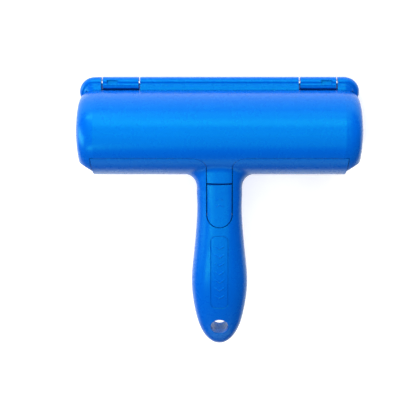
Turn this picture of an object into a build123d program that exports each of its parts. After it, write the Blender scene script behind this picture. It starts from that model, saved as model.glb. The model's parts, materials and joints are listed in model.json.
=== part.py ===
from build123d import *
from math import sin, cos, hypot, radians, pi
import os

os.makedirs("parts", exist_ok=True)

# ------------------------------------------------------------------ driving sizes, mm
# The head is a barrel lying along X, its hinge at the front (+Y); the handle rises towards -Y.
# Cross sections of the head are given as (y, z) from the drum axis.
# Places on the handle are given as u, along it from the drum axis, and v, square to it.
HEAD_WIDTH = 203.2          # over both end cheeks
BARREL_R = 30.0             # outside of the barrel
WALL = 2.2                  # moulded wall of head and handle
AXIS_Y = 61.95              # drum axis: distance ahead of the middle of the whole roller
AXIS_Z = 24.6               # drum axis above the floor
TILT = radians(12)          # rise of the handle above the floor

CREASE_X = 86.8             # where the barrel turns into the cheeks
BASE_X = 89.4               # outside of the base's end walls
CHEEK_X = 89.8              # inside face of the lid's cheeks, behind and below
CHAMFER_AT = (99.3, 21.4)   # a point of the cheeks' rear chamfer: x, and distance out from the drum axis
CHAMFER_SLOPE = 0.68        # how fast the chamfer comes in along X
CHAMFER_ANGLE = 148         # direction it faces, from +Y towards +Z
INNER_X = 85.4              # inside of the base's end walls
FLOOR_Z = -23.0             # underside of the base
SEAM = 99.7                 # angle of the lid's rear seam, from +Y towards +Z
SEAM_GAP = 0.4              # half of the seam, in degrees of arc
LID_LOW = -23.6             # angle of the lower front edge of the lid's shell

HINGE = (31.4, -16.4)       # hinge axis
NOSE_R = 4.0                # rounded hinge flange
HINGE_PIN_R = 1.5
KNUCKLE_X = (57.3, 82.8)    # the base's knuckle, on either side
KNUCKLE_GAP = 1.0
CORNER_X = 88.3             # centre of the flange's rounded corner
CORNER_R = 7.7              # path radius of the flange round that corner

TONGUE_HALF = 8.9           # half width of the lid's latch tongue
TONGUE_END = 30.9           # u where the tongue ends
SLOT_HALF = 9.4             # half width of the slot that tongue and button fill
BUTTON_START = 32.1
BUTTON_END = 63.6
BUTTON_HALF = 8.7
BUTTON_PIN = (57.0, 14.5)   # u and v of the button's cross pin
BUTTON_PIN_R = 1.25
SPRING_AT = 41.0            # u of the button's spring

HANDLE_MID = 12.5           # v of the handle's parting plane
LOWER_START = 38.8          # u where the handle's separate lower half starts
HOLE_AT = 145.6             # u of the hanging hole
HOLE_R = 6.6
SCREWS_AT = (76.0, 126.0)   # u of the handle screws

PILE_R = 24.5               # tips of the drum's fabric
CORE_R = 22.5
CAP_R = 20.2
CORE_X = 81.2               # half length of the drum's core
STRIP_X = 80.4              # half length of every fabric strip
SHAFT_R = 2.5
ROCK = 22.0                 # drum swing each way, degrees
WINDOW_Y = 14.2             # half width of the window under the drum

# handle stations: u, half width, half depth
NECK = [(12.0, 17.6, 10.3), (26.0, 17.2, 10.3), (37.2, 16.1, 10.3)]
GRIP = [(37.2, 16.1, 10.3), (48.0, 16.1, 10.5), (61.0, 16.4, 11.2), (75.0, 17.5, 12.0), (90.0, 19.0, 12.7),
        (103.0, 20.3, 13.0), (113.0, 20.65, 12.9), (125.0, 19.8, 12.3), (137.0, 18.0, 11.2), (147.0, 15.6, 9.9),
        (154.0, 12.8, 8.4), (159.0, 9.6, 6.7), (162.4, 6.2, 4.7), (164.2, 2.6, 2.2)]
NECK_FILLET = 8.8           # where the neck flows into the barrel
DROOP_FROM = 90.0           # u where the handle starts to curve down
DROOP = 4.5                 # how far its tip has dropped by the last station


# ------------------------------------------------------------------ helpers
def cross(x):
    """Plane across the drum axis; its own x and y run along world Y and Z."""
    return Plane(origin=(x, AXIS_Y, AXIS_Z), x_dir=(0, 1, 0), z_dir=(1, 0, 0))


def along_x(face, x0, x1):
    """Extrude a cross section of the head from x0 to x1."""
    return extrude(cross(x0) * face, amount=x1 - x0)


def level(v):
    """Plane along the handle at height v; its own x is world X, its own y points to the head."""
    normal = Vector(0, sin(TILT), cos(TILT))
    return Plane(origin=Vector(0, AXIS_Y, AXIS_Z) + normal * v, x_dir=(1, 0, 0), z_dir=normal)


def upright(face, v0, v1):
    """Extrude a plan shape of the handle from height v0 to v1."""
    return extrude(level(v0) * face, amount=v1 - v0)


def droop(u):
    """How far the handle's middle has curved down at u."""
    return DROOP * (max(0, u - DROOP_FROM) / (GRIP[-1][0] - DROOP_FROM)) ** 2


def station(u, v=HANDLE_MID):
    """Plane across the handle at u; its own x is world X backwards, its own y goes up."""
    along = Vector(0, -cos(TILT), sin(TILT))
    normal = Vector(0, sin(TILT), cos(TILT))
    origin = Vector(0, AXIS_Y, AXIS_Z) + along * u + normal * v
    return Plane(origin=origin, x_dir=(-1, 0, 0), z_dir=along)


def ring(r_in, r_out, start, end):
    """Flat ring sector between two radii and two angles about the drum axis."""
    outer = CenterArc((0, 0), r_out, start, end - start)
    inner = CenterArc((0, 0), r_in, start, end - start)
    return make_face(Curve() + [outer, Line(outer @ 1, inner @ 1), inner, Line(inner @ 0, outer @ 0)])


def rect(x0, x1, y0, y1):
    return Pos((x0 + x1) / 2, (y0 + y1) / 2) * Rectangle(x1 - x0, y1 - y0)


def disc(centre, radius):
    return Pos(*centre) * Circle(radius)


def polygon(*points):
    return make_face(Polyline(*points, close=True))


def both(part):
    """A part and its mirror image across the middle of the head."""
    return part + mirror(part, about=Plane.YZ)


def barrel(radius, x0, x1):
    return along_x(Circle(radius), x0, x1)


def save(node, part):
    solids = part.solids()
    shape = solids[0] if len(solids) == 1 else Compound(children=list(solids))
    export_step(shape, f"parts/{node}.step")
    print(node, len(solids), round(sum(s.volume for s in solids)), all(s.is_valid for s in solids))


def flat_oval(half_width, half_depth):
    """Oval a little fuller at its shoulders than an ellipse."""
    points = []
    for step in range(16):
        c = cos(2 * pi * (step + 2) / 16)
        s = sin(2 * pi * (step + 2) / 16)
        x = half_width * (abs(c) ** 0.86) * (1 if c >= 0 else -1)
        y = half_depth * (abs(s) ** 0.86) * (1 if s >= 0 else -1)
        points.append((x, y))
    return make_face(Spline(*points, periodic=True))


def bulb(grow):
    """Whole handle with its skin moved outwards by grow; a negative grow gives its hollow."""
    neck = loft([station(u) * flat_oval(w + grow, d + grow) for u, w, d in NECK])
    kept = [place for place in GRIP if place[2] + grow > 2.0]
    grip = loft([station(u, HANDLE_MID - droop(u)) * flat_oval(w + grow, d + grow) for u, w, d in kept])
    return neck + grip


def neck_root():
    """The neck's outer skin and the piece of barrel behind it, joined by a round fillet."""
    root = barrel(BARREL_R, -60, 60) + loft([station(u) * flat_oval(w, d) for u, w, d in NECK])
    joint = [edge for edge in root.edges() if edge.geom_type != GeomType.CIRCLE
             and all(abs(hypot((edge @ t).Y - AXIS_Y, (edge @ t).Z - AXIS_Z) - BARREL_R) < 0.05 for t in (0.2, 0.7))
             and abs((edge @ 0.5).X) < 30]
    filleted = fillet(joint, NECK_FILLET)
    behind_seam = along_x(ring(BARREL_R - 4, 70, SEAM + SEAM_GAP, 200), -40, 40)
    return filleted & behind_seam


def walls(region):
    """The handle's walls, with the fillet round its root, inside a region."""
    return (plain_walls & region) + (root_walls & region)


def slot_plan(spread):
    """Plan of the slot in the handle's root, square to the handle."""
    half = SLOT_HALF + spread
    last = -(BUTTON_END + 0.7 + spread - half)
    return rect(-half, half, last, -16) + disc((0, last), half)


def notch_plan(spread):
    """Plan of the lid's tongue root: straight sides that flare out into the seam."""
    edge = TONGUE_HALF + 0.3 + spread
    flare_r = 9.0 - spread
    start = edge + flare_r
    half = make_face(Curve() + [
        Line((0, -16), (edge, -16)), Line((edge, -16), (edge, -5)),
        CenterArc((start, -5), flare_r, 90, 90),
        Line((start, flare_r - 5), (start, 12)), Line((start, 12), (0, 12)), Line((0, 12), (0, -16))])
    return half + mirror(half, about=Plane.YZ)


def notch_prism(spread):
    """The notch, cut square to the barrel's skin at the tongue's root."""
    normal = Vector(0, cos(radians(108)), sin(radians(108)))
    plane = Plane(origin=Vector(0, AXIS_Y, AXIS_Z) + normal * 18, x_dir=(1, 0, 0), z_dir=normal)
    return extrude(plane * notch_plan(spread), amount=20)


def above_parting(lift):
    """Everything above the surface where the handle's halves meet, moved up by lift."""
    along = Vector(0, -cos(TILT), sin(TILT))
    side_plane = Plane(origin=(60, AXIS_Y, AXIS_Z), x_dir=along, z_dir=(-1, 0, 0))
    height = HANDLE_MID + lift
    bend = [(u, height - droop(u)) for u in (DROOP_FROM, 115, 140, 170)]
    line = Spline(*bend, tangents=((1, 0), (1, -0.13)))
    face = make_face(Curve() + [Line((-30, height), bend[0]), line, Line(bend[-1], (170, 70)),
                                Line((170, 70), (-30, 70)), Line((-30, 70), (-30, height))])
    return extrude(side_plane * face, amount=120)


plain_skin = bulb(0)
root = neck_root()
skin = plain_skin + root
hollow = bulb(-WALL)
plain_walls = plain_skin - hollow - barrel(BARREL_R - 0.1, -60, 60)
root_walls = root - hollow - barrel(BARREL_R - 0.1, -60, 60)
within_wall = bulb(-0.9)      # posts and ribs end inside the wall

# ------------------------------------------------------------------ lid
grooved_nose = disc(HINGE, NOSE_R) - disc((32.75, -11.35), 1.9)
lid_end = SEAM - SEAM_GAP
lid = along_x(ring(BARREL_R - WALL, BARREL_R, LID_LOW, lid_end), -CREASE_X, CREASE_X)

# cheeks: domed ends, complete all round beyond the base's end walls
dome_plane = Plane(origin=(0, AXIS_Y, AXIS_Z), x_dir=(1, 0, 0), z_dir=(0, 0, 1))
drum_axis = Axis((0, AXIS_Y, AXIS_Z), (1, 0, 0))
apex = HEAD_WIDTH / 2
dome_outside = Spline((CREASE_X, 30), (93.4, 28.8), (97.0, 26.6), (99.3, 21.0), (100.6, 13.0), (apex, 4),
                      tangents=((1, -0.13), (0, -1)))
dome_inside = Polyline((CREASE_X - 0.1, 27.8), (CHEEK_X + 0.6, 27.6), (94.8, 25.2), (97.2, 20.6), (98.5, 13.0),
                       (99.4, 4))


def revolved(curve, low_x, radius, high_x):
    """Turn a profile into a solid about the drum axis, closed by a flat disc in the middle."""
    profile = make_face(Curve() + [curve, Line((high_x, 4), (high_x, 0)), Line((high_x, 0), (low_x, 0)),
                                   Line((low_x, 0), (low_x, radius))])
    return revolve(dome_plane * profile, drum_axis, 360)


def behind_chamfer(depth):
    """Everything outside the flat chamfer across a cheek's rear corner, taken depth further in."""
    facing = radians(CHAMFER_ANGLE)
    plane = Plane(origin=(0, AXIS_Y, AXIS_Z), x_dir=(1, 0, 0), z_dir=(0, -sin(facing), cos(facing)))
    x, out = CHAMFER_AT
    out -= depth * 1.21
    wedge = polygon((CREASE_X - 6, out + (x - CREASE_X + 6) * CHAMFER_SLOPE), (apex + 4, out - (apex + 4 - x) * CHAMFER_SLOPE),
                    (apex + 4, 50), (CREASE_X - 6, 50))
    return extrude(plane * wedge, amount=60, both=True)


dome = revolved(dome_outside, CREASE_X, 30, apex)
dome_hollow = revolved(dome_inside, CREASE_X - 0.1, 27.8, 99.4) - behind_chamfer(2.0)
dome_hollow -= along_x(rect(-40, 40, -40, FLOOR_Z + 2), CHEEK_X, apex)
covered = ring(1, 39, LID_LOW, lid_end)
cheek = dome - dome_hollow - along_x(rect(-40, 40, -40, 40) - covered, CREASE_X - 1, CHEEK_X)

# hinge flange: straight along the front, then round the corners into the cheeks
flange_fill = polygon((25.5, -11.2), (27.7, -14.2), (31.4, -13.4), (31.3, -12.0), (28.6, -10.2), (27.0, -10.2))
ridge = disc((30.0, -12.5), 1.25)
flange = grooved_nose + ridge + flange_fill
corner_axis = Axis((CORNER_X, AXIS_Y + HINGE[0] - CORNER_R, 0), (0, 0, -1))
corner = revolve(cross(CORNER_X) * grooved_nose, corner_axis, 130)
corner += revolve(cross(CORNER_X) * (ridge + flange_fill), corner_axis, 60) - dome_hollow
lip = Pos(CORNER_X, AXIS_Y + HINGE[0] - CORNER_R, AXIS_Z + HINGE[1]) * Cylinder(CORNER_R, 5.6) - dome_hollow
corner += lip - along_x(rect(0, 40, -40, 0), CORNER_X - 12, CHEEK_X)
corner -= along_x(rect(10, 27.4, -22, -10.8), CORNER_X - 9, CHEEK_X)
corner -= along_x(rect(0, 40, -40, 0), CORNER_X - 12, CORNER_X - 0.01)
corner -= barrel(BARREL_R - WALL + 0.3, CORNER_X - 9, CHEEK_X)
cheek += corner + along_x(flange, KNUCKLE_X[1] + KNUCKLE_GAP, CORNER_X)
cheek -= along_x(rect(-40, 40, -40, FLOOR_Z), CREASE_X - 1, apex + 1) + behind_chamfer(0)
lid += both(cheek)
lid += along_x(flange, -(KNUCKLE_X[0] - KNUCKLE_GAP), KNUCKLE_X[0] - KNUCKLE_GAP)

# tongue: the shell carries on into the slot and ends in a tab flush with the handle
root_shell = along_x(ring(BARREL_R - WALL, BARREL_R, SEAM - 2, 119.4), -24, 24) & notch_prism(-0.3)
tab = (skin & upright(rect(-TONGUE_HALF, TONGUE_HALF, -TONGUE_END, -15), 20.0, 27)) - barrel(BARREL_R - WALL, -30, 30)
catch = upright(rect(-5, 5, -29.3, -27.5), 14, 20.5) + upright(rect(-5, 5, -30.3, -29), 14, 15.5)
lid += root_shell + tab + catch
lid -= both(along_x(disc(HINGE, HINGE_PIN_R + 0.05), 46.5, KNUCKLE_X[0])
            + along_x(disc(HINGE, HINGE_PIN_R + 0.05), KNUCKLE_X[1], 88.6))
save("lid", lid)

# ------------------------------------------------------------------ main body: base of the head
rear_wall = ring(BARREL_R - WALL, BARREL_R, SEAM + SEAM_GAP, 180) + rect(-BARREL_R, -BARREL_R + WALL, FLOOR_Z, 0)
ledge = ring(25.8, 27.45, SEAM - 5, SEAM + 3) + ring(27.3, BARREL_R - WALL + 0.1, SEAM + 0.6, SEAM + 3)
sill = rect(24.8, 27.0, FLOOR_Z, -14.4)
body = along_x(rear_wall + ledge + sill, -BASE_X, BASE_X)

end_outline = (disc((0, 0), 27.4) + rect(-BARREL_R, 27.0, FLOOR_Z, -14.4)
               + ring(5, BARREL_R, SEAM + SEAM_GAP, 180) + rect(-BARREL_R, -20, FLOOR_Z, 0))
end_wall = along_x(end_outline - rect(-40, 40, -40, FLOOR_Z), INNER_X, BASE_X)
frame_boss = along_x(rect(18, 25.5, -20.4, -14) + rect(-28.5, -18, -20.4, -14), INNER_X - 3.8, INNER_X + 0.5)
stop_lug = along_x(Rot(0, 0, ROCK) * rect(13, 18, 5, 8) + Rot(0, 0, -ROCK) * rect(-18, -13, 5, 8),
                   INNER_X - 3.5, INNER_X + 0.5)
knuckle_web = polygon((26.5, -20.4), (31.4, -20.4), (31.4, -15), (29.6, -12.6), (27.9, -13.4), (26.5, -14.4))
knuckle = along_x(grooved_nose + knuckle_web + disc((29.4, -13.5), 1.2), *KNUCKLE_X)
knuckle -= along_x(Pos(*HINGE) * Rot(0, 0, 58) * rect(2.2, 8, -1.2, 2.2), 72.1, 79.7)
body += both(end_wall + frame_boss + stop_lug + knuckle)
body -= both(along_x(disc(HINGE, HINGE_PIN_R), KNUCKLE_X[0] - 1, KNUCKLE_X[1] + 1))
body -= both(along_x(Circle(5.0), INNER_X - 1, BASE_X + 1))
FRAME_SCREW_X = INNER_X - 2.3
for side in (-1, 1):
    for y in (-20.5, 20.5):
        body -= Pos(side * FRAME_SCREW_X, AXIS_Y + y, AXIS_Z - 18.5) * Cylinder(0.9, 5)

# ------------------------------------------------------------------ main body: upper half of the handle
upper = walls(above_parting(0))
lower_root = walls(upright(rect(-40, 40, -LOWER_START + 0.2, 20), -20, HANDLE_MID))
lower_root -= along_x(rect(-BARREL_R + 0.1, 40, -40, 40), -60, 60)
sleeve = upright(disc((0, -HOLE_AT), HOLE_R + WALL), -10, 40) & plain_skin
screw_posts = upright(disc((0, -SCREWS_AT[0]), 3.6) + disc((0, -SCREWS_AT[1]), 3.6), HANDLE_MID - 2, 40) & within_wall
pin_post = upright(rect(SLOT_HALF + 0.8, 15, -BUTTON_PIN[0] - 4.3, -BUTTON_PIN[0] + 4.3), HANDLE_MID, 30) & within_wall
shelf = upright(rect(-11.2, 11.2, -SPRING_AT - 4.5, -SPRING_AT + 4.5), 7.6, 9.2)
shelf_leg = upright(rect(9.6, 11.2, -SPRING_AT - 4.5, -SPRING_AT + 4.5), 9.0, 30) & within_wall
handle = upper + lower_root + sleeve + screw_posts + shelf + both(pin_post + shelf_leg)
handle -= upright(slot_plan(0), 14, 40)
handle -= upright(disc((0, -HOLE_AT), HOLE_R), -10, 50)
for at in SCREWS_AT:
    handle -= upright(disc((0, -at), 1.4), 5, 20)
body += handle
notch_zone = barrel(BARREL_R + 8, -40, 40) - barrel(BARREL_R - WALL - 0.1, -40, 40)
body -= notch_prism(0) & notch_zone & upright(rect(-40, 40, -TONGUE_END - 2, 20), 19.6, 45)
body -= upright(rect(-SLOT_HALF, SLOT_HALF, -34, -26), 13, 22) - barrel(BARREL_R, -40, 40)


def along_pin(radius, x0, x1):
    """Cylinder along the button's cross pin."""
    centre = station(*BUTTON_PIN).origin
    plane = Plane(origin=(x0, centre.Y, centre.Z), x_dir=(0, 1, 0), z_dir=(1, 0, 0))
    return extrude(plane * Circle(radius), amount=x1 - x0)


body -= along_pin(BUTTON_PIN_R, -12.6, 12.6)

# thin outline of the grip panel
panel = RectangleRounded(13.0, 58, 4) - RectangleRounded(12.1, 57.1, 3.6)
body -= upright(Pos(0, -99.5) * panel, 15, 40) - bulb(-0.35)
save("main_body", body)

# ------------------------------------------------------------------ lower half of the handle
lower = (plain_walls & upright(rect(-40, 40, -200, -LOWER_START), -20, 40)) - above_parting(-0.1)
lower += upright(disc((0, -SCREWS_AT[0]), 3.6) + disc((0, -SCREWS_AT[1]), 3.6), -5, HANDLE_MID - 2.1) & within_wall
lower -= upright(disc((0, -HOLE_AT), HOLE_R + WALL + 0.15), -10, 20)
for at in SCREWS_AT:
    lower -= upright(disc((0, -at), 1.5), -10, 20)
    lower -= upright(disc((0, -at), 2.7), -10, 5.0)
save("handle_lower_shell", lower)

handle_screws = Part()
for at in SCREWS_AT:
    head = upright(disc((0, -at), 2.6), 2.9, 4.99) - upright(Pos(0, -at) * RegularPolygon(1.3, 6), 2.0, 4.2)
    handle_screws += head + upright(disc((0, -at), 1.38), 4.5, 18.0)
save("handle_screws", handle_screws)

# ------------------------------------------------------------------ bottom frame with its lint strips
frame_plate = along_x(rect(-27.6, 24.6, FLOOR_Z, -20.6), -(INNER_X - 0.2), INNER_X - 0.2)
frame_plate -= along_x(rect(-WINDOW_Y, WINDOW_Y, -30, -20), -(CORE_X + 0.4), CORE_X + 0.4)
frame_screws = Part()
for side in (-1, 1):
    for y in (-20.5, 20.5):
        at = Pos(side * FRAME_SCREW_X, AXIS_Y + y, AXIS_Z)
        frame_plate -= at * Pos(0, 0, -22) * Cylinder(1.0, 4)
        frame_plate -= at * Pos(0, 0, -22.4) * Cylinder(1.9, 1.4)
        head = at * Pos(0, 0, -22.3) * Cylinder(1.8, 1.2) - at * Pos(0, 0, -23) * extrude(RegularPolygon(0.9, 6), 0.8)
        frame_screws += head + at * Pos(0, 0, -19.1) * Cylinder(0.88, 5.4)
save("bottom_frame", frame_plate)
save("frame_screws", frame_screws)
save("front_lint_strip", along_x(rect(15, 25, -AXIS_Z, FLOOR_Z), -STRIP_X, STRIP_X))
save("rear_lint_strip", along_x(rect(-25, -15, -AXIS_Z, FLOOR_Z), -STRIP_X, STRIP_X))

# ------------------------------------------------------------------ hinge pins
pin = along_x(disc(HINGE, HINGE_PIN_R), 48, 88)
save("hinge_pin_right", pin)
save("hinge_pin_left", mirror(pin, about=Plane.YZ))

# ------------------------------------------------------------------ release button, its pin and spring
end_centre = -(BUTTON_END - BUTTON_HALF)


def button_plan(spread):
    half = BUTTON_HALF + spread
    return rect(-half, half, end_centre, -BUTTON_START + spread) + disc((0, end_centre), half)


button = upright(button_plan(0), 14, 30) & bulb(0.3)
button -= upright(button_plan(-1.6), 13, 30) & bulb(-1.6)
button += upright(rect(-4, 4, -BUTTON_START - 1.8, -BUTTON_START - 0.1), 13, 20)
button += upright(rect(-4, 4, -BUTTON_START - 1, -30.9), 16, 17.5)
button += upright(disc((0, -SPRING_AT), 2.0), 17.0, 22.0)
hub = along_pin(2.9, -7.6, -4.6) + along_pin(2.9, 4.6, 7.6)
hub += (upright(rect(-7.6, -4.6, -BUTTON_PIN[0] - 1.6, -BUTTON_PIN[0] + 1.6), 15, 30)
        + upright(rect(4.6, 7.6, -BUTTON_PIN[0] - 1.6, -BUTTON_PIN[0] + 1.6), 15, 30)) & bulb(-1)
button += hub
button -= along_pin(BUTTON_PIN_R + 0.05, -10, 10)
save("release_button", button)
save("button_pivot_pin", along_pin(BUTTON_PIN_R, -12.4, 12.4))

spring_bottom = 9.2
spring_top = 21.0
coil_r = 2.9
wire_r = 0.35
path = Helix(pitch=1.8, height=spring_top - spring_bottom - 2 * wire_r - 0.1, radius=coil_r)
coil = sweep(Plane(origin=path @ 0, z_dir=path % 0) * Circle(wire_r), path=path)
save("button_spring", (level(spring_bottom + wire_r + 0.05) * Pos(0, -SPRING_AT, 0)) * coil)

# ------------------------------------------------------------------ rocking drum
half_disc = disc((0, 0), CORE_R) & rect(-30, 30, -30, 1.0)
half_hollow = disc((0, 0), CORE_R - 2.2) & rect(-30, 30, -30, -1.2)
rib = rect(-0.9, 0.9, -CORE_R + 1, 0) + rect(-1, 1, -5, 0)
core_section = half_disc - half_hollow + rib + disc((0, 0), 5.0)
core = along_x(core_section - Circle(SHAFT_R), -CORE_X, CORE_X)
save("drum_core", core)
cap_section = (disc((0, 0), CAP_R) & rect(-30, 30, -30, 1.0)) + disc((0, 0), 5.0) - Circle(SHAFT_R)
cap = along_x(cap_section, CORE_X, INNER_X - 1.3)
save("drum_end_cap_right", cap)
save("drum_end_cap_left", mirror(cap, about=Plane.YZ))
save("drum_shaft", along_x(Circle(SHAFT_R), -(BASE_X - 0.6), BASE_X - 0.6))
save("drum_fabric_front", along_x(ring(CORE_R, PILE_R, -87, -12), -STRIP_X, STRIP_X))
save("drum_fabric_rear", along_x(ring(CORE_R, PILE_R, -168, -93), -STRIP_X, STRIP_X))
blade = rect(-1.0, 1.0, -PILE_R - 0.05, -CORE_R - 0.1) - disc((0, 0), CORE_R)
save("drum_wiper_blade", along_x(blade, -STRIP_X, STRIP_X))

bush = along_x(Circle(5.0) - Circle(SHAFT_R + 0.05), INNER_X - 0.1, BASE_X)
bush += along_x(Circle(6.5) - Circle(SHAFT_R + 0.05), INNER_X - 0.9, INNER_X)
save("drum_bush_right", bush)
save("drum_bush_left", mirror(bush, about=Plane.YZ))

bumper = along_x(Rot(0, 0, ROCK) * rect(13, 18, 1.3, 5) + Rot(0, 0, -ROCK) * rect(-18, -13, 1.3, 5),
                 INNER_X - 3.5, INNER_X)
save("stop_bumpers", both(bumper))
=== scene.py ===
import json
import math
import random

import bmesh
import bpy
from mathutils import Matrix, Vector
from mathutils.bvhtree import BVHTree


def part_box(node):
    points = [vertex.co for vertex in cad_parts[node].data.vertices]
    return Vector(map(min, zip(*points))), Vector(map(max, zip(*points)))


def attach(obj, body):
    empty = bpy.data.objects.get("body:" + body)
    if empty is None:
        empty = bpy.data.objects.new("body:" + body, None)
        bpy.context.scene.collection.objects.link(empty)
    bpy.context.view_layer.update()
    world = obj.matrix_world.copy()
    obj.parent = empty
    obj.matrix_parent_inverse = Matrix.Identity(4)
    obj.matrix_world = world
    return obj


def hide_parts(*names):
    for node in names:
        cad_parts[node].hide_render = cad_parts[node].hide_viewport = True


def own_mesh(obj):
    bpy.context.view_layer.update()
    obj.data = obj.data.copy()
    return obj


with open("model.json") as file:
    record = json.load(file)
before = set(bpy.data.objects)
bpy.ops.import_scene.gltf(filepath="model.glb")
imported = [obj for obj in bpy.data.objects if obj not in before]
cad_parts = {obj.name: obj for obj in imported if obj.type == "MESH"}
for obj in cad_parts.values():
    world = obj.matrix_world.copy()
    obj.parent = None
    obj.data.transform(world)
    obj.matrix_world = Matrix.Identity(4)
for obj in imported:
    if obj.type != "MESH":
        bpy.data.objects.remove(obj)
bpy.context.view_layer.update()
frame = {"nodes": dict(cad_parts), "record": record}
nodes = frame["nodes"]
joints = {j["name"]: j for j in frame["record"]["behaviour"]["joints"]}
mounts = {m["name"]: m for m in frame["record"]["mounts"]}

# ------------------------------------------------------------------ places, from the frame
drum_axis = Vector(joints["drum_rock"]["pos_m"])
hole = mounts["hang_hole"]
square_up = Vector(hole["axis"]).normalized()                 # square to the handle
along = Vector((0, -square_up.z, square_up.y))                # along the handle, away from the head


def place(x, u, v):
    """A point from its distance across, along the handle and square to it, in metres."""
    return Vector((x, drum_axis.y, drum_axis.z)) + along * u + square_up * v


# ------------------------------------------------------------------ material helpers
def new_material(name):
    material = bpy.data.materials.new(name)
    material.use_nodes = True
    tree = material.node_tree
    tree.nodes.clear()
    output = tree.nodes.new("ShaderNodeOutputMaterial")
    shader = tree.nodes.new("ShaderNodeBsdfPrincipled")
    tree.links.new(shader.outputs[0], output.inputs[0])
    return material, tree, shader


def noise(tree, scale, detail=3.0, roughness=0.5, stretch=(1, 1, 1)):
    coords = tree.nodes.new("ShaderNodeTexCoord")
    mapping = tree.nodes.new("ShaderNodeMapping")
    mapping.inputs["Scale"].default_value = stretch
    texture = tree.nodes.new("ShaderNodeTexNoise")
    texture.inputs["Scale"].default_value = scale
    texture.inputs["Detail"].default_value = detail
    texture.inputs["Roughness"].default_value = roughness
    tree.links.new(coords.outputs["Object"], mapping.inputs["Vector"])
    tree.links.new(mapping.outputs[0], texture.inputs["Vector"])
    return texture.outputs["Fac"]


NOISE_LOW = 0.3                  # most of a noise value lies between these two
NOISE_HIGH = 0.7


def spread(tree, value, low, high):
    """Map the middle of a noise value onto a range."""
    node = tree.nodes.new("ShaderNodeMapRange")
    node.inputs["From Min"].default_value = NOISE_LOW
    node.inputs["From Max"].default_value = NOISE_HIGH
    node.inputs["To Min"].default_value = low
    node.inputs["To Max"].default_value = high
    tree.links.new(value, node.inputs["Value"])
    return node.outputs[0]


def mix_colour(tree, factor, first, second):
    node = tree.nodes.new("ShaderNodeMix")
    node.data_type = "RGBA"
    node.inputs[6].default_value = (*first, 1)
    node.inputs[7].default_value = (*second, 1)
    tree.links.new(factor, node.inputs[0])
    return node.outputs[2]


def bumps(tree, layers, base=None):
    """Chain bump layers: (height value, strength, distance)."""
    normal = base
    for height, strength, distance in layers:
        node = tree.nodes.new("ShaderNodeBump")
        node.inputs["Strength"].default_value = strength
        node.inputs["Distance"].default_value = distance
        tree.links.new(height, node.inputs["Height"])
        if normal is not None:
            tree.links.new(normal, node.inputs["Normal"])
        normal = node.outputs[0]
    return normal


def soft_edges(tree, radius):
    node = tree.nodes.new("ShaderNodeBevel")
    node.samples = 8
    node.inputs["Radius"].default_value = radius
    return node.outputs[0]


SMOOTHER = 0.012                 # how far the roughness varies either way
ROUGHER = 0.02


def surface(name, colour, second, roughness, layers, edge=0.0, metallic=0.0, sheen=0.0, specular=0.5,
            tint=(1, 1, 1), cloud=14.0, scuff=90.0, ior=1.5):
    """Two mixed colours, uneven roughness and bump layers on a Principled shader.

    A layer is (noise scale, strength, distance, stretch); cloud and scuff are noise scales.
    """
    material, tree, shader = new_material(name)
    mottle = noise(tree, cloud, 2)
    scuffs = noise(tree, scuff, 6, 0.7)
    base_colour = mix_colour(tree, spread(tree, mottle, 0, 1), colour, second)
    tree.links.new(base_colour, shader.inputs["Base Color"])
    uneven = spread(tree, scuffs, roughness - SMOOTHER, roughness + ROUGHER)
    tree.links.new(uneven, shader.inputs["Roughness"])
    heights = [(noise(tree, scale, 2, 0.5, stretch), strength, distance)
               for scale, strength, distance, stretch in layers]
    normal = bumps(tree, heights, soft_edges(tree, edge) if edge else None)
    tree.links.new(normal, shader.inputs["Normal"])
    shader.inputs["Metallic"].default_value = metallic
    shader.inputs["Sheen Weight"].default_value = sheen
    shader.inputs["Specular IOR Level"].default_value = specular
    shader.inputs["IOR"].default_value = ior
    shader.inputs["Specular Tint"].default_value = (*tint, 1)
    return material


EVEN = (1, 1, 1)
blue = surface("blue_shell_plastic", (0.0, 0.098, 0.545), (0.0, 0.091, 0.52), 0.27,
               [(1500, 0.035, 0.00002, EVEN), (22, 0.05, 0.0005, EVEN)], edge=0.0006,
               specular=0.95, tint=(0.02, 1.0, 0.45), ior=1.34)
drum_white = surface("drum_plastic", (0.62, 0.64, 0.67), (0.56, 0.58, 0.61), 0.5,
                     [(2200, 0.12, 0.00002, EVEN)], edge=0.0003)
acetal = surface("bush_plastic", (0.78, 0.78, 0.75), (0.71, 0.71, 0.68), 0.42,
                 [(2600, 0.08, 0.00002, EVEN)], edge=0.0002)
rubber = surface("dark_rubber", (0.016, 0.016, 0.018), (0.028, 0.028, 0.03), 0.72,
                 [(1800, 0.25, 0.00004, EVEN)], edge=0.0002)
dark_steel = surface("dark_steel", (0.10, 0.105, 0.11), (0.07, 0.072, 0.08), 0.4,
                     [(900, 0.12, 0.00002, (0.08, 1, 1))], metallic=1.0, edge=0.00012)
steel = surface("bright_steel", (0.56, 0.57, 0.58), (0.44, 0.45, 0.47), 0.27,
                [(900, 0.12, 0.00002, (0.08, 1, 1))], metallic=1.0, edge=0.00012)
nap = surface("napped_fabric", (0.045, 0.06, 0.10), (0.085, 0.105, 0.155), 0.86,
              [(3200, 0.6, 0.0001, (0.5, 1, 1))], sheen=0.5, cloud=420.0, scuff=900.0)
backing = surface("fabric_backing", (0.03, 0.038, 0.06), (0.05, 0.06, 0.085), 0.9,
                  [(2000, 0.5, 0.0001, EVEN)], sheen=0.2, cloud=300.0, scuff=900.0)

# ------------------------------------------------------------------ finish of each CAD node
finishes = {
    "blue_shell": blue, "drum_plastic": drum_white, "bush_plastic": acetal, "dark_rubber": rubber,
    "steel": steel, "lint_fabric": nap,
}
for part in frame["record"]["subparts"]:
    mesh = nodes[part["node"]].data
    mesh.materials.clear()
    mesh.materials.append(finishes[part["material_slot"]])
nodes["button_pivot_pin"].data.materials[0] = dark_steel


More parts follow.
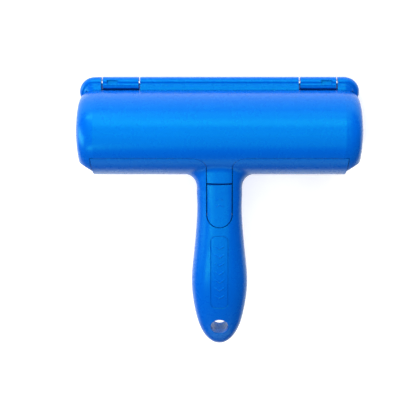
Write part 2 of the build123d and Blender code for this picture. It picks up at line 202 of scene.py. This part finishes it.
# ------------------------------------------------------------------ mesh helpers
def make_object(name, mesh, material, body, smooth=True):
    data = bpy.data.meshes.new(name)
    bmesh.ops.recalc_face_normals(mesh, faces=mesh.faces)
    mesh.to_mesh(data)
    mesh.free()
    for face in data.polygons:
        face.use_smooth = smooth
    data.materials.append(material)
    obj = bpy.data.objects.new(name, data)
    bpy.context.scene.collection.objects.link(obj)
    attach(obj, body)
    return obj


def closed_slab(mesh, rows):
    """Skin a grid of (top, bottom) point pairs into a closed slab."""
    top = [[mesh.verts.new(pair[0]) for pair in row] for row in rows]
    low = [[mesh.verts.new(pair[1]) for pair in row] for row in rows]
    last_row, last = len(rows) - 1, len(rows[0]) - 1
    for r in range(last_row):
        for c in range(last):
            mesh.faces.new((top[r][c], top[r][c + 1], top[r + 1][c + 1], top[r + 1][c]))
            mesh.faces.new((low[r][c], low[r + 1][c], low[r + 1][c + 1], low[r][c + 1]))
    for c in range(last):
        mesh.faces.new((top[0][c + 1], top[0][c], low[0][c], low[0][c + 1]))
        mesh.faces.new((top[last_row][c], top[last_row][c + 1], low[last_row][c + 1], low[last_row][c]))
    for r in range(last_row):
        mesh.faces.new((top[r][0], top[r + 1][0], low[r + 1][0], low[r][0]))
        mesh.faces.new((top[r + 1][last], top[r][last], low[r][last], low[r + 1][last]))


BACKING_COLUMNS = 120
BACKING_ROWS = 28
BACKING_SHARE = 0.55             # the backing's share of the strip's thickness
TUFT_SPACING = 0.0011


def napped_strip(name, node, point, length, body, slant, seed):
    """Fabric strip: a woven backing with short slanted tufts.

    point(x, s, h) gives a place on it: x across, s along it in metres, h its share of the thickness.
    """
    dice = random.Random(seed)
    half = (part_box(node)[1].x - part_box(node)[0].x) / 2
    mesh = bmesh.new()
    rows = []
    for step in range(BACKING_ROWS + 1):
        down_share = step / BACKING_ROWS
        s = length * step / BACKING_ROWS
        row = []
        for column in range(BACKING_COLUMNS + 1):
            across_share = column / BACKING_COLUMNS
            x = -half + 2 * half * column / BACKING_COLUMNS
            to_edge = min(across_share, 1 - across_share, down_share, 1 - down_share)
            edge = min(1.0, 6 * to_edge + BACKING_SHARE)
            height = (BACKING_SHARE + 0.1 * dice.random()) * edge
            row.append((point(x, s, height), point(x, s, 0)))
        rows.append(row)
    closed_slab(mesh, rows)
    make_object(name + "_backing", mesh, backing, body)
    tufts = bmesh.new()
    spacing = TUFT_SPACING
    across = int(2 * half / spacing)
    down = int(length / spacing)
    for row in range(down):
        for column in range(across):
            x = -half + (column + dice.random()) * spacing
            s = (row + dice.random()) * spacing
            width = 0.00030 + 0.00012 * dice.random()
            lean = slant * (0.0005 + 0.0004 * dice.random())
            tip_s = min(max(s + lean, 0.0), length)
            tip_x = min(max(x + 0.0003 * (dice.random() - 0.5), -half), half)
            reach = 0.82 + 0.16 * dice.random()
            root = [point(min(max(x + dx, -half), half), min(max(s + ds, 0.0), length), 0.5)
                    for dx, ds in ((-width, 0), (width, -width), (width, width))]
            corners = [tufts.verts.new(p) for p in root]
            tip = tufts.verts.new(point(tip_x, tip_s, reach))
            for k in range(3):
                tufts.faces.new((corners[k], corners[(k + 1) % 3], tip))
    return make_object(name + "_tufts", tufts, nap, body, smooth=False)


# ------------------------------------------------------------------ fabric on the drum and beside it
STRIP_TOP_DROP = 0.0051          # the strip's widest place is this far below the drum's axis
DRUM_STRIP_THICKNESS = 0.002


def on_drum(node, sign):
    """Places on the drum's curved strip: s runs round the drum from its lowest edge."""
    low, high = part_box(node)
    reach = max(abs(high.y - drum_axis.y), abs(low.y - drum_axis.y))
    outer = math.hypot(reach, STRIP_TOP_DROP)
    inner = outer - DRUM_STRIP_THICKNESS
    start = math.radians(3)
    end = math.radians(78)

    def point(x, s, h):
        angle = start + s / outer
        radius = inner + (outer - inner) * h
        return Vector((x, drum_axis.y + sign * radius * math.sin(angle),
                       drum_axis.z - radius * math.cos(angle)))
    return point, (end - start) * outer


for node, sign, seed in (("drum_fabric_front", 1, 3), ("drum_fabric_rear", -1, 5)):
    point, length = on_drum(node, sign)
    piece = napped_strip(node, node, point, length, "drum", 1, seed)
    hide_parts(node)


def under_frame(node, sign):
    """Places on a flat strip under the frame: s runs outwards from the window."""
    low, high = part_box(node)
    first = low.y if sign > 0 else high.y

    def point(x, s, h):
        return Vector((x, first + sign * s, high.z + (low.z - high.z) * h))
    return point, high.y - low.y


for node, sign, seed in (("front_lint_strip", 1, 11), ("rear_lint_strip", -1, 13)):
    point, length = under_frame(node, sign)
    piece = napped_strip(node, node, point, length, "base", -1, seed)
    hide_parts(node)


# ------------------------------------------------------------------ round wire, for spring and marks
def wire(name, spots, radius, material, body, end_share=1.0):
    """Round wire through a list of places; end_share thins its two ends."""
    curve = bpy.data.curves.new(name, "CURVE")
    curve.dimensions = "3D"
    curve.bevel_depth = radius
    curve.bevel_resolution = 4
    curve.use_fill_caps = True
    spline = curve.splines.new("POLY")
    spline.points.add(len(spots) - 1)
    for index, spot in enumerate(spots):
        spline.points[index].co = (*spot, 1)
        spline.points[index].radius = end_share if index in (0, len(spots) - 1) else 1.0
    shape = bpy.data.objects.new(name + "_line", curve)
    bpy.context.scene.collection.objects.link(shape)
    view = bpy.context.evaluated_depsgraph_get()
    data = bpy.data.meshes.new_from_object(shape.evaluated_get(view))
    bpy.data.objects.remove(shape)
    data.name = name
    for face in data.polygons:
        face.use_smooth = True
    data.materials.clear()
    data.materials.append(material)
    obj = bpy.data.objects.new(name, data)
    bpy.context.scene.collection.objects.link(obj)
    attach(obj, body)
    return obj


# ------------------------------------------------------------------ the button's coil spring
COIL_R = 0.0029                  # to the middle of the wire
COIL_WIRE_R = 0.00035
COIL_HALF = 0.0054               # half its height, to the middle of the wire
COIL_TURNS = 6
STEPS_A_TURN = 32

spring_low, spring_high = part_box("button_spring")
spring_middle = (spring_low + spring_high) / 2
coil_steps = COIL_TURNS * STEPS_A_TURN
coil_places = []
for step in range(coil_steps + 1):
    turn = 2 * math.pi * COIL_TURNS * step / coil_steps
    round_axis = Vector((COIL_R * math.cos(turn), 0, 0)) + along * COIL_R * math.sin(turn)
    coil_places.append(spring_middle + round_axis + square_up * COIL_HALF * (2 * step / coil_steps - 1))
coil = wire("button_coil", coil_places, COIL_WIRE_R, steel, "base")
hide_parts("button_spring")
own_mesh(coil)


# ------------------------------------------------------------------ raised marks on handle and button
ABOVE_HANDLE = 0.06              # clear of every surface, square to the handle
MARK_SINK = 0.0002
MARK_END_SHARE = 0.55


def skin_of(node):
    mesh = nodes[node].data
    return BVHTree.FromPolygons([v.co for v in mesh.vertices], [tuple(p.vertices) for p in mesh.polygons])


def raised_line(name, skin, route, radius, body):
    """Rounded raised line that follows a moulded surface; route is a list of (x, u)."""
    hits = [skin.ray_cast(place(x, u, ABOVE_HANDLE), -square_up)[0] for x, u in route]
    spots = [hit - square_up * MARK_SINK for hit in hits]
    return wire(name, spots, radius, blue, body, MARK_END_SHARE)


def chevron(half_width, u, rise, steps=8):
    """Route of a V across the handle: its ends at u, its middle at u + rise."""
    shares = [2 * k / steps - 1 for k in range(steps + 1)]
    return [(half_width * share, u + rise * (1 - abs(share))) for share in shares]


GRIP_MARKS = 7
GRIP_MARK_U = 0.0775
GRIP_MARK_PITCH = 0.0066
PRESS_MARKS = 2
PRESS_MARK_U = 0.0435
PRESS_MARK_PITCH = 0.0048

handle_skin = skin_of("main_body")
for number in range(GRIP_MARKS):
    route = chevron(0.0036, GRIP_MARK_U + GRIP_MARK_PITCH * number, 0.0026)
    raised_line(f"grip_chevron_{number}", handle_skin, route, 0.0006, "base")
button_skin = skin_of("release_button")
for number in range(PRESS_MARKS):
    route = chevron(0.0028, PRESS_MARK_U + PRESS_MARK_PITCH * number, -0.0018)
    raised_line(f"press_mark_{number}", button_skin, route, 0.0005, "button")

# ------------------------------------------------------------------ floor, light and camera
def sheet_mesh(name, half, height):
    data = bpy.data.meshes.new(name)
    mesh = bmesh.new()
    bmesh.ops.create_grid(mesh, x_segments=8, y_segments=8, size=half,
                          matrix=Matrix.Translation((0, 0, height)))
    mesh.to_mesh(data)
    mesh.free()
    obj = bpy.data.objects.new(name, data)
    bpy.context.scene.collection.objects.link(obj)
    return obj


FLOOR_HALF = 3.0
FLOOR_Z = -0.0002                # just clear of the fabric strips that the roller stands on

floor = sheet_mesh("floor", FLOOR_HALF, FLOOR_Z)
paper, paper_tree, paper_shader = new_material("white_sweep")
paper_shader.inputs["Base Color"].default_value = (0.95, 0.95, 0.95, 1)
paper_shader.inputs["Roughness"].default_value = 0.9
paper_shader.inputs["Emission Color"].default_value = (1, 1, 1, 1)
paper_shader.inputs["Emission Strength"].default_value = 0.35
floor.data.materials.append(paper)

world = bpy.data.worlds.new("studio")
bpy.context.scene.world = world
world.use_nodes = True
world.node_tree.nodes["Background"].inputs["Color"].default_value = (1, 1, 1, 1)
world.node_tree.nodes["Background"].inputs["Strength"].default_value = 0.06


def softbox(name, location, aim, size, power):
    light = bpy.data.lights.new(name, "AREA")
    light.shape = "RECTANGLE"
    light.size, light.size_y = size
    light.energy = power
    obj = bpy.data.objects.new(name, light)
    bpy.context.scene.collection.objects.link(obj)
    obj.location = location
    obj.rotation_mode = "QUATERNION"
    obj.rotation_quaternion = (Vector(aim) - Vector(location)).to_track_quat("-Z", "Y")
    return obj


softbox("over_hinge", (0.0, 0.85, 0.60), (0, 0.06, 0.04), (0.9, 0.35), 5.2)
softbox("low_hinge", (0.0, 1.0, 0.25), (0, 0.06, 0.03), (1.0, 0.3), 2.9)
softbox("accent", (-0.42, 0.93, 0.32), (-0.05, 0.06, 0.04), (0.35, 0.10), 1.4)
softbox("top", (0.0, 0.15, 1.1), (0, 0, 0.03), (0.9, 0.7), 3.6)
softbox("overhead_left", (-0.42, -0.20, 1.0), (0, -0.02, 0.05), (0.10, 0.35), 1.3)
softbox("top_hinge", (0.0, 0.60, 0.95), (0, 0.03, 0.03), (1.0, 0.4), 2.9)
softbox("left", (-0.95, 0.1, 0.45), (0, -0.02, 0.03), (0.4, 0.8), 6.8)
softbox("behind", (0.0, -0.9, 0.6), (0, 0, 0.03), (0.9, 0.4), 1.2)

# The camera looks down from the hinge side, with the handle towards the bottom of the picture.
CAMERA_LEAN = math.radians(20)   # from square to the handle, towards the hinge
CAMERA_DISTANCE = 0.64
TARGET_U = 0.05141

target = place(0.0, TARGET_U, 0.0)
towards_camera = (square_up * math.cos(CAMERA_LEAN) - along * math.sin(CAMERA_LEAN)).normalized()
picture_up = (-along * math.cos(CAMERA_LEAN) - square_up * math.sin(CAMERA_LEAN)).normalized()
camera_data = bpy.data.cameras.new("camera")
camera_data.sensor_width = 36
camera_data.lens = 78.3
camera_data.shift_x = -0.0487
camera_data.clip_start = 0.01
camera = bpy.data.objects.new("camera", camera_data)
bpy.context.scene.collection.objects.link(camera)
right = Vector((1, 0, 0))
camera_place = target + towards_camera * CAMERA_DISTANCE
turned = Matrix((right, picture_up, towards_camera)).transposed()
camera.matrix_world = Matrix.Translation(camera_place) @ turned.to_4x4()
bpy.context.scene.camera = camera
bpy.context.scene.view_settings.view_transform = "Standard"
